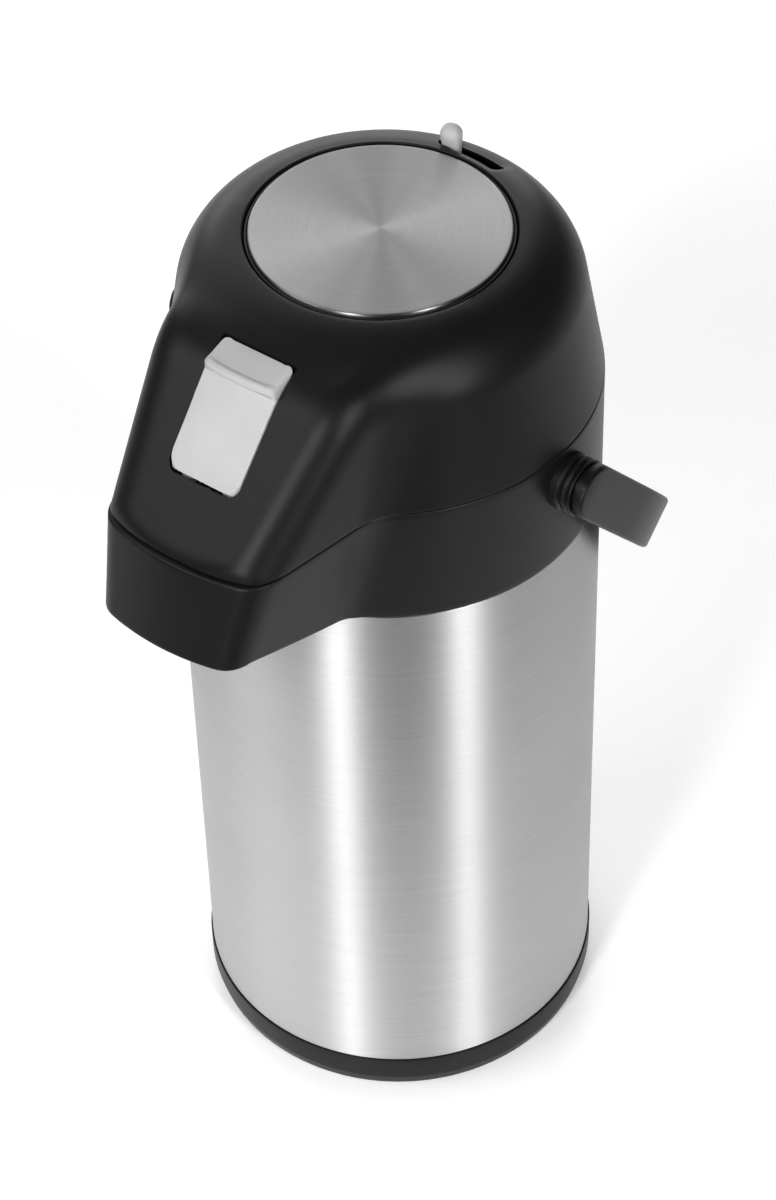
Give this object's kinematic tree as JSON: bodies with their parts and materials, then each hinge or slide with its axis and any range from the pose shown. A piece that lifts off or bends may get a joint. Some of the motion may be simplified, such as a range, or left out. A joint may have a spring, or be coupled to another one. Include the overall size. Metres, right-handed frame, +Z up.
{
  "type": "thermal coffee airpot",
  "caption": "Round steel-cased airpot with a black pump lid, sloping beak, grey latch and lock knob, brushed push disc and swinging bail handle.",
  "frame": {"origin": "centre of the flat underside, on the casing's axis", "axes": "+Z up along the casing's axis, beak towards -Y, handle pivots on the X axis"},
  "size_m": [0.188, 0.2407, 0.4007],
  "materials": {
    "black_plastic": "fine satin moulded texture",
    "inner_plastic": "plain moulded",
    "pale_grey_plastic": "satin",
    "casing_steel": "brushed round the casing",
    "disc_steel": "brushed in circles",
    "pin_steel": "bright drawn",
    "liner_steel": "bright rolled",
    "black_rubber": "matt",
    "silicone": "matt translucent",
    "clear_plastic": "natural translucent"
  },
  "bodies": {
    "base": {"foot_pad": "black_rubber", "base_plate": "inner_plastic", "base_ring": "black_plastic", "base_screw_1": "pin_steel", "base_screw_2": "pin_steel", "base_screw_3": "pin_steel", "flask_cushion": "black_rubber", "body_shell": "casing_steel", "flask_outer": "liner_steel", "flask_inner": "liner_steel", "neck_gasket": "silicone", "shoulder_deck": "inner_plastic", "collar": "black_plastic", "latch_catch": "inner_plastic", "pivot_boss_left": "black_plastic", "pivot_boss_right": "black_plastic", "pivot_pin_left": "pin_steel", "pivot_pin_right": "pin_steel", "pivot_washer_left": "pin_steel", "pivot_washer_right": "pin_steel", "stopper": "inner_plastic", "dip_tube": "clear_plastic", "valve_seat": "silicone", "valve_stop": "inner_plastic", "pour_tube": "clear_plastic", "nozzle": "inner_plastic", "hinge_leaf_body": "black_plastic", "hinge_pin": "pin_steel"},
    "valve": {"valve_ball": "pin_steel"},
    "handle": {"handle": "black_plastic"},
    "lid": {"lid_shell": "black_plastic", "lid_base_plate": "inner_plastic", "lid_seal": "silicone", "guide_sleeve": "inner_plastic", "hinge_leaf_lid": "black_plastic", "latch_lug_left": "inner_plastic", "latch_lug_right": "inner_plastic", "latch_pin": "pin_steel", "latch_spring": "pin_steel", "bellows": "black_rubber", "return_spring": "pin_steel"},
    "button": {"pump_button": "black_plastic", "button_disc": "disc_steel", "bellows_plate": "inner_plastic", "air_flap": "black_rubber"},
    "lock": {"lock_ring": "inner_plastic", "lock_knob": "pale_grey_plastic"},
    "latch": {"latch": "pale_grey_plastic"}
  },
  "joints": [
    {"name": "lid_hinge", "type": "hinge", "parent": "base", "child": "lid", "pos_m": [0, 0.0848, 0.3332], "axis": [-1, 0, 0], "range_deg": [0, 95]},
    {"name": "button_press", "type": "slide", "parent": "lid", "child": "button", "axis": [0, 0, -1], "range_m": [0, 0.026], "stiffness_N_per_m": 300, "springref_m": -0.012, "deforming": ["bellows", "return_spring"]},
    {"name": "lock_turn", "type": "hinge", "parent": "lid", "child": "lock", "pos_m": [0, 0, 0.385], "axis": [0, 0, -1], "range_deg": [0, 19]},
    {"name": "latch_pivot", "type": "hinge", "parent": "lid", "child": "latch", "pos_m": [0, -0.1, 0.3478], "axis": [1, 0, 0], "range_deg": [0, 7], "stiffness_Nm_per_rad": 0.5, "springref_deg": -5.73},
    {"name": "handle_swing", "type": "hinge", "parent": "base", "child": "handle", "pos_m": [0, 0, 0.315], "axis": [1, 0, 0], "range_deg": [0, 139]},
    {"name": "valve_lift", "type": "slide", "parent": "base", "child": "valve", "axis": [0, 0, 1], "range_m": [0, 0.006]}
  ]
}
